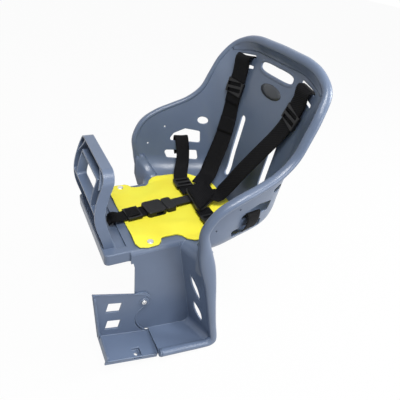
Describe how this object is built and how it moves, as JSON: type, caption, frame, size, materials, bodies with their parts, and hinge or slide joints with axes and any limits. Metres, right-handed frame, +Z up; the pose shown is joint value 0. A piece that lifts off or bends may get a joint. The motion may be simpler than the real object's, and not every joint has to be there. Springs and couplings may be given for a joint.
{
  "type": "child bicycle seat",
  "caption": "Moulded child seat for a bicycle with rolled rim, leg wells, front grab handle, foam pad and strap harness.",
  "frame": {"origin": "middle of the carrier bolt pattern on top of the seat pan, midway between the two pad rivets", "axes": "+X to the child's left, +Y to the backrest, +Z up"},
  "size_m": [0.3678, 0.383, 0.5352],
  "materials": {
    "shell": "fine grained blue-grey moulding",
    "pad": "soft yellow foam sheet",
    "web": "woven black webbing",
    "buckle": "black satin plastic",
    "metal": "zinc plated"
  },
  "bodies": {
    "root": {"seat_shell": "shell", "front_handle": "shell", "left_footrest": "shell", "seat_pad": "pad", "pad_rivets": "metal", "footrest_screw": "metal", "footrest_washer": "metal", "footrest_nut": "metal", "shoulder_strap_right": "web", "shoulder_strap_left": "web", "waist_strap_right": "web", "waist_strap_left": "web", "crotch_strap": "web", "shoulder_slider_right": "buckle", "shoulder_slider_left": "buckle", "waist_slider_right": "buckle", "waist_slider_left": "buckle", "crotch_slider": "buckle", "buckle_socket": "buckle", "buckle_plug": "buckle", "harness_hub": "buckle"}
  },
  "joints": []
}
